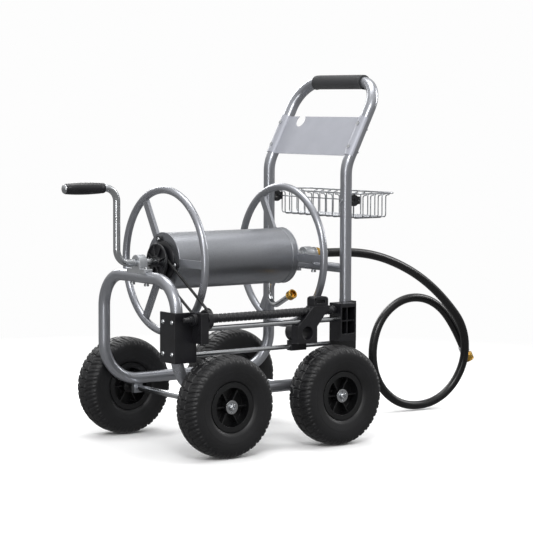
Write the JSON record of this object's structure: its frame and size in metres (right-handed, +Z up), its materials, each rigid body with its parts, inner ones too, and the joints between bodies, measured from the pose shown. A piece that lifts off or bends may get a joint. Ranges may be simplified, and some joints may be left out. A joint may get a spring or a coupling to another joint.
{
  "type": "garden hose reel cart",
  "caption": "Wheeled garden hose reel cart of bent tube with a cranked drum, belt-driven hose guide, leader hose, wire basket and a sheet tool panel below its push handle.",
  "frame": {"origin": "on the floor under the middle of the cart's own bounding box, leader hose left out", "axes": "+X from the crank end to the handle end, +Y across towards the side away from the hose guide, +Z up"},
  "size_m": [1.4154, 0.5436, 0.939],
  "materials": {
    "frame_paint": "silver metallic paint",
    "drum_paint": "silver hammered paint",
    "panel_paint": "light grey satin paint",
    "bearing_paint": "light grey cast surface, satin",
    "steel_wire": "grey coated wire",
    "zinc_steel": "zinc plated",
    "bright_steel": "bright plated",
    "brass": "machined",
    "black_plastic": "matt black moulding",
    "hose_rubber": "smooth black rubber",
    "foam": "closed-cell foam",
    "tyre": "matt black tyre rubber"
  },
  "bodies": {
    "frame": {"front_hoop": "frame_paint", "side_tube_left": "frame_paint", "side_tube_right": "frame_paint", "handle_bow": "frame_paint", "foam_grip": "foam", "rear_cross_brace": "frame_paint", "floor_cross_brace": "frame_paint", "front_axle": "zinc_steel", "rear_axle": "zinc_steel", "axle_brackets": "frame_paint", "axle_sleeves": "zinc_steel", "axle_washers": "zinc_steel", "cotter_pins": "zinc_steel", "front_bearing_block": "bearing_paint", "rear_bearing_block": "bearing_paint", "bearing_bolts": "zinc_steel", "inlet_swivel": "bearing_paint", "swivel_nut": "brass", "leader_hose": "hose_rubber", "hose_ferrules": "bright_steel", "hose_connector": "brass", "guide_bracket_front": "black_plastic", "pulley_box": "black_plastic", "drive_belt": "hose_rubber", "guide_rod_upper": "zinc_steel", "guide_rod_lower": "zinc_steel", "guide_bracket_rear": "black_plastic", "clamp_bolts": "zinc_steel", "basket_rim": "steel_wire", "basket_wires": "steel_wire", "basket_clips": "black_plastic", "tool_panel": "panel_paint", "tube_bolts": "zinc_steel"},
    "reel": {"drum_shell": "drum_paint", "drum_cap_front": "drum_paint", "drum_cap_rear": "drum_paint", "reel_ring_front": "frame_paint", "ring_spokes_front": "frame_paint", "reel_ring_rear": "frame_paint", "ring_spokes_rear": "frame_paint", "hub_pulley": "black_plastic", "crank_arm": "frame_paint", "grip_end_cap": "bright_steel", "water_tube": "bright_steel", "outlet_pipe": "bright_steel", "outlet_coupling": "brass"},
    "crank_grip_body": {"crank_grip": "black_plastic"},
    "lead_screw_body": {"lead_screw": "black_plastic", "screw_pulley": "black_plastic", "screw_collar": "bright_steel"},
    "carriage": {"hose_guide": "black_plastic", "pawl_cap": "black_plastic"},
    "wheel_front_left": {"tyre_front_left": "tyre", "rim_front_left": "black_plastic"},
    "wheel_front_right": {"tyre_front_right": "tyre", "rim_front_right": "black_plastic"},
    "wheel_rear_left": {"tyre_rear_left": "tyre", "rim_rear_left": "black_plastic"},
    "wheel_rear_right": {"tyre_rear_right": "tyre", "rim_rear_right": "black_plastic"}
  },
  "joints": [
    {"name": "reel_spin", "type": "hinge", "parent": "frame", "child": "reel", "pos_m": [0.043, 0, 0.4678], "axis": [1, 0, 0], "continuous": true},
    {"name": "grip_spin", "type": "hinge", "parent": "reel", "child": "crank_grip_body", "pos_m": [-0.387, 0, 0.655], "axis": [1, 0, 0], "continuous": true},
    {"name": "screw_spin", "type": "hinge", "parent": "frame", "child": "lead_screw_body", "pos_m": [0.043, -0.206, 0.3405], "axis": [1, 0, 0], "continuous": true},
    {"name": "carriage_slide", "type": "slide", "parent": "frame", "child": "carriage", "axis": [1, 0, 0], "range_m": [-0.245, 0.02]},
    {"name": "wheel_front_left_spin", "type": "hinge", "parent": "frame", "child": "wheel_front_left", "pos_m": [-0.12825, -0.2296, 0.127], "axis": [0, 1, 0], "continuous": true},
    {"name": "wheel_front_right_spin", "type": "hinge", "parent": "frame", "child": "wheel_front_right", "pos_m": [-0.12825, 0.2296, 0.127], "axis": [0, 1, 0], "continuous": true},
    {"name": "wheel_rear_left_spin", "type": "hinge", "parent": "frame", "child": "wheel_rear_left", "pos_m": [0.21425, -0.2296, 0.127], "axis": [0, 1, 0], "continuous": true},
    {"name": "wheel_rear_right_spin", "type": "hinge", "parent": "frame", "child": "wheel_rear_right", "pos_m": [0.21425, 0.2296, 0.127], "axis": [0, 1, 0], "continuous": true}
  ],
  "couplings": [
    {"joint": "screw_spin", "follows": "reel_spin", "ratio": 1.1}
  ]
}
